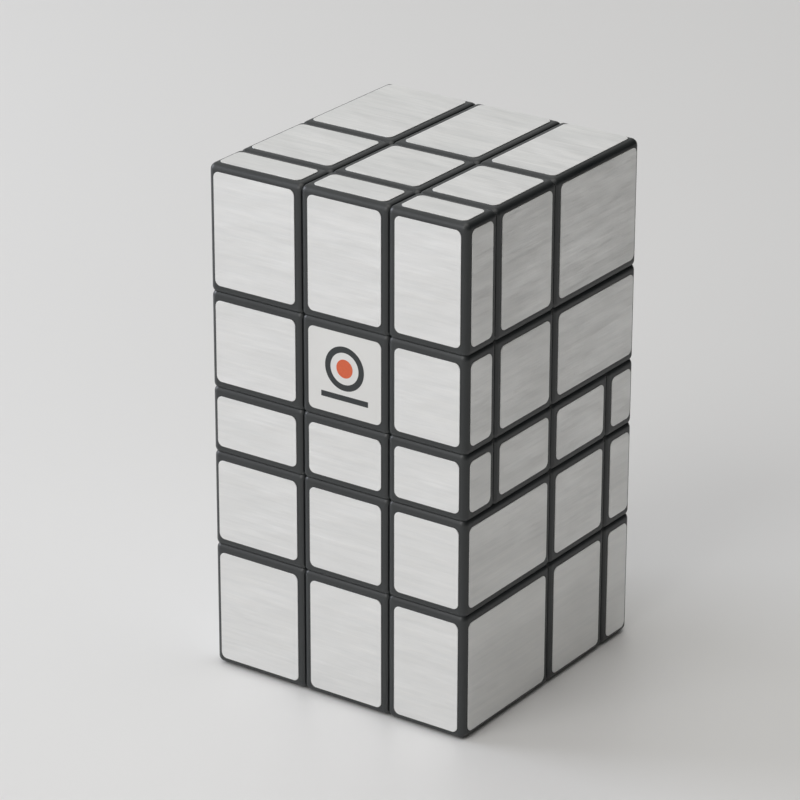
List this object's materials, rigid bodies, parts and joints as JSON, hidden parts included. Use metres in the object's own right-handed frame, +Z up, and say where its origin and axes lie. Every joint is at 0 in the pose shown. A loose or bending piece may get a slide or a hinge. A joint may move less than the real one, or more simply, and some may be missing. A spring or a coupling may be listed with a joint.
{
  "type": "conjoined mirror block puzzle",
  "caption": "Tall square mirror block puzzle: two shape-shifting turning puzzles stacked and joined by a shared layer, black plastic pieces faced with brushed silver foil.",
  "frame": {"origin": "centre of the square base, on the surface that the puzzle stands on", "axes": "+Z up through the layers, -Y the front, +X the right-hand side seen from the front"},
  "size_m": [0.057, 0.057, 0.101],
  "materials": {
    "black_plastic": "satin moulded ABS with polished rounded edges",
    "brushed_foil": "brushed silver foil sticker with a straight grain",
    "printed_foil": "smooth white printed label",
    "white_plastic": "moulded",
    "steel": "zinc plated"
  },
  "bodies": {
    "middle_layer": {"shared_block": "black_plastic", "upper_corner_bottom_front_left": "black_plastic", "upper_edge_bottom_front": "black_plastic", "upper_corner_bottom_front_right": "black_plastic", "lower_corner_top_back_left": "black_plastic", "lower_edge_top_back": "black_plastic", "lower_corner_top_back_right": "black_plastic"},
    "upper_equator": {"upper_core": "white_plastic", "upper_screw_left": "steel", "upper_screw_right": "steel", "upper_screw_front": "steel", "upper_screw_back": "steel", "upper_screw_bottom": "steel", "upper_screw_top": "steel", "upper_edge_front_left": "black_plastic", "upper_centre_front": "black_plastic", "upper_edge_front_right": "black_plastic", "upper_centre_left": "black_plastic", "upper_centre_right": "black_plastic", "upper_edge_back_left": "black_plastic", "upper_centre_back": "black_plastic", "upper_edge_back_right": "black_plastic"},
    "upper_top": {"upper_corner_top_front_left": "black_plastic", "upper_edge_top_front": "black_plastic", "upper_corner_top_front_right": "black_plastic", "upper_edge_top_left": "black_plastic", "upper_centre_top": "black_plastic", "upper_edge_top_right": "black_plastic", "upper_corner_top_back_left": "black_plastic", "upper_edge_top_back": "black_plastic", "upper_corner_top_back_right": "black_plastic"},
    "lower_equator": {"lower_core": "white_plastic", "lower_screw_left": "steel", "lower_screw_right": "steel", "lower_screw_front": "steel", "lower_screw_back": "steel", "lower_screw_bottom": "steel", "lower_screw_top": "steel", "lower_edge_front_left": "black_plastic", "lower_centre_front": "black_plastic", "lower_edge_front_right": "black_plastic", "lower_centre_left": "black_plastic", "lower_centre_right": "black_plastic", "lower_edge_back_left": "black_plastic", "lower_centre_back": "black_plastic", "lower_edge_back_right": "black_plastic"},
    "lower_bottom": {"lower_corner_bottom_front_left": "black_plastic", "lower_edge_bottom_front": "black_plastic", "lower_corner_bottom_front_right": "black_plastic", "lower_edge_bottom_left": "black_plastic", "lower_centre_bottom": "black_plastic", "lower_edge_bottom_right": "black_plastic", "lower_corner_bottom_back_left": "black_plastic", "lower_edge_bottom_back": "black_plastic", "lower_corner_bottom_back_right": "black_plastic"}
  },
  "joints": [
    {"name": "upper_equator_turn", "type": "hinge", "parent": "middle_layer", "child": "upper_equator", "pos_m": [0.002, -0.0095, 0.0665], "axis": [0, 0, 1], "continuous": true},
    {"name": "upper_top_turn", "type": "hinge", "parent": "upper_equator", "child": "upper_top", "pos_m": [0.002, -0.0095, 0.0665], "axis": [0, 0, 1], "continuous": true},
    {"name": "lower_equator_turn", "type": "hinge", "parent": "middle_layer", "child": "lower_equator", "pos_m": [0.002, 0.0095, 0.0345], "axis": [0, 0, 1], "continuous": true},
    {"name": "lower_bottom_turn", "type": "hinge", "parent": "lower_equator", "child": "lower_bottom", "pos_m": [0.002, 0.0095, 0.0345], "axis": [0, 0, 1], "continuous": true}
  ]
}
